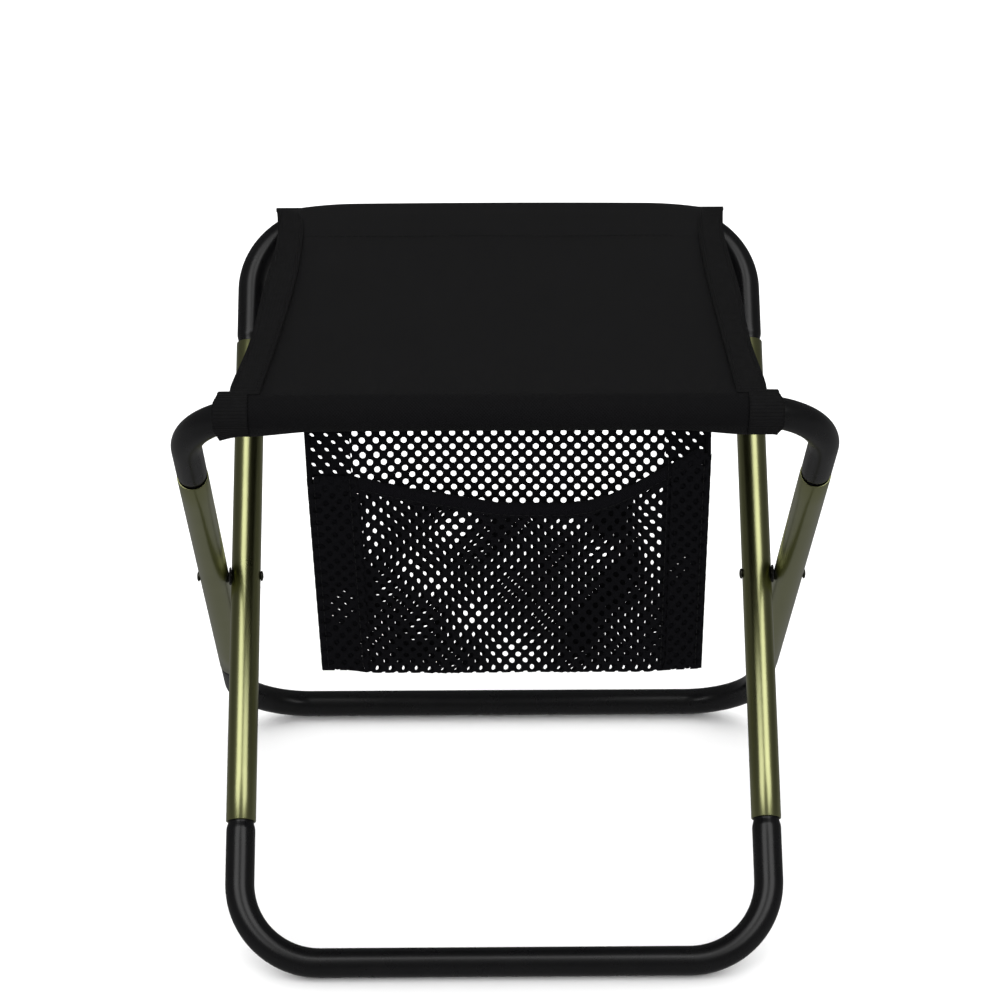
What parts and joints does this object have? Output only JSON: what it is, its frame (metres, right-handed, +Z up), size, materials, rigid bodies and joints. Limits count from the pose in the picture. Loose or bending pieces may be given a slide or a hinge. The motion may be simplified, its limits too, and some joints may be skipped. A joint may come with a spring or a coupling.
{
  "type": "folding camp stool",
  "caption": "Folding camp stool: two crossed tube hoops riveted at the middle, a fabric seat stretched between their top bars and a net pouch under the front bar.",
  "frame": {"origin": "on the floor, midway between the two floor bars and between the left and right tubes, with the stool open", "axes": "+X to the right of someone facing the front bar with the pouch, +Y from the front bar to the rear bar, +Z up"},
  "size_m": [0.3966, 0.3652, 0.3914],
  "materials": {
    "black_tube": "satin black powder coat",
    "green_tube": "glossy metallic olive green lacquer",
    "rivet": "blackened steel",
    "washer": "black nylon",
    "seat_cloth": "black coated polyester oxford weave",
    "webbing": "black ribbed polypropylene webbing",
    "net": "black polyester net with round holes"
  },
  "bodies": {
    "outer_frame": {"outer_bottom_bend": "black_tube", "outer_top_bend": "black_tube", "outer_tube_left": "green_tube", "outer_tube_right": "green_tube", "pivot_rivet_left": "rivet", "pivot_rivet_right": "rivet", "pivot_washer_left": "washer", "pivot_washer_right": "washer", "front_sleeve": "seat_cloth", "front_loop_left": "webbing", "front_loop_right": "webbing", "seat_panel": "seat_cloth", "side_webbing_left": "webbing", "side_webbing_right": "webbing", "pouch_back_net": "net", "pouch_front_net": "net", "pouch_top_hem": "net", "pouch_bottom_fold": "net", "pouch_side_hem_left": "net", "pouch_side_hem_right": "net"},
    "inner_frame": {"inner_bottom_bend": "black_tube", "inner_top_bend": "black_tube", "inner_tube_left": "green_tube", "inner_tube_right": "green_tube", "rear_sleeve": "seat_cloth", "rear_loop_left": "webbing", "rear_loop_right": "webbing"}
  },
  "joints": [
    {"name": "fold", "type": "hinge", "parent": "outer_frame", "child": "inner_frame", "pos_m": [0, 0, 0.19426], "axis": [1, 0, 0], "range_deg": [0, 75], "deforming": ["seat_panel", "side_webbing_left", "side_webbing_right"]}
  ]
}
